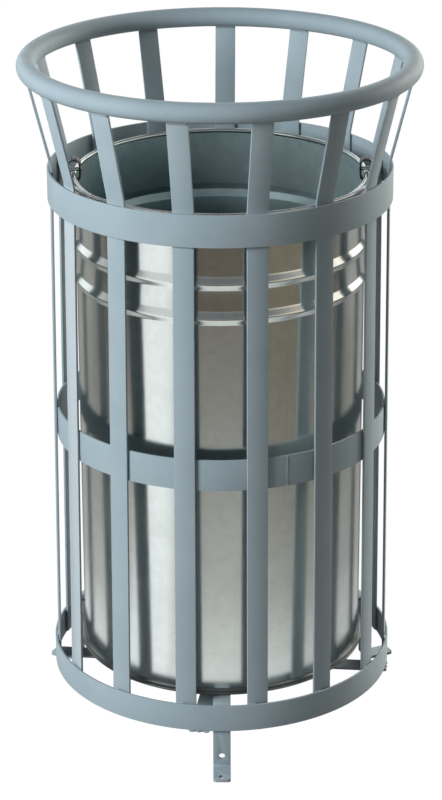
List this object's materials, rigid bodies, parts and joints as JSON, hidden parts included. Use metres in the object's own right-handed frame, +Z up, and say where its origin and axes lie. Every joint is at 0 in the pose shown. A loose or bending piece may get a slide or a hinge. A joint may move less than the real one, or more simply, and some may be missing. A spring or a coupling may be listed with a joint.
{
  "type": "litter bin",
  "caption": "Round outdoor litter bin: a flared, slatted painted steel basket on short feet with a lift-out galvanised liner and swinging bail.",
  "frame": {"origin": "on the basket's axis at floor level", "axes": "+Z up along the basket's axis, -Y towards the front, where one foot stands"},
  "size_m": [0.5, 0.5, 0.8725],
  "materials": {
    "rim_tube": "satin blue-grey powder coat",
    "upper_band": "satin blue-grey powder coat",
    "middle_band": "satin blue-grey powder coat",
    "lower_band": "satin blue-grey powder coat",
    "slat_01": "satin blue-grey powder coat",
    "slat_02": "satin blue-grey powder coat",
    "slat_03": "satin blue-grey powder coat",
    "slat_04": "satin blue-grey powder coat",
    "slat_05": "satin blue-grey powder coat",
    "slat_06": "satin blue-grey powder coat",
    "slat_07": "satin blue-grey powder coat",
    "slat_08": "satin blue-grey powder coat",
    "slat_09": "satin blue-grey powder coat",
    "slat_10": "satin blue-grey powder coat",
    "slat_11": "satin blue-grey powder coat",
    "slat_12": "satin blue-grey powder coat",
    "slat_13": "satin blue-grey powder coat",
    "slat_14": "satin blue-grey powder coat",
    "slat_15": "satin blue-grey powder coat",
    "foot_front": "satin blue-grey powder coat",
    "foot_left": "satin blue-grey powder coat",
    "foot_right": "satin blue-grey powder coat",
    "cross_bar_upper": "satin blue-grey powder coat",
    "cross_bar_lower": "satin blue-grey powder coat",
    "liner_shell": "galvanised, semi-bright",
    "liner_base": "galvanised, semi-bright",
    "ear_left": "galvanised, semi-bright",
    "ear_right": "galvanised, semi-bright",
    "rivet_left": "galvanised, semi-bright",
    "rivet_right": "galvanised, semi-bright",
    "bail": "galvanised, semi-bright"
  },
  "bodies": {
    "basket": {"rim_tube": "rim_tube", "upper_band": "upper_band", "middle_band": "middle_band", "lower_band": "lower_band", "slat_01": "slat_01", "slat_02": "slat_02", "slat_03": "slat_03", "slat_04": "slat_04", "slat_05": "slat_05", "slat_06": "slat_06", "slat_07": "slat_07", "slat_08": "slat_08", "slat_09": "slat_09", "slat_10": "slat_10", "slat_11": "slat_11", "slat_12": "slat_12", "slat_13": "slat_13", "slat_14": "slat_14", "slat_15": "slat_15", "foot_front": "foot_front", "foot_left": "foot_left", "foot_right": "foot_right", "cross_bar_upper": "cross_bar_upper", "cross_bar_lower": "cross_bar_lower"},
    "liner": {"liner_shell": "liner_shell", "liner_base": "liner_base", "ear_left": "ear_left", "ear_right": "ear_right", "rivet_left": "rivet_left", "rivet_right": "rivet_right"},
    "bail": {"bail": "bail"}
  },
  "joints": [
    {"name": "liner_lift", "type": "slide", "parent": "basket", "child": "liner", "axis": [0, 0, 1], "range_m": [0, 0.8]},
    {"name": "bail_swing", "type": "hinge", "parent": "liner", "child": "bail", "pos_m": [0, -0.02018, 0.72928], "axis": [-1, 0, 0], "range_deg": [0, 180]}
  ]
}
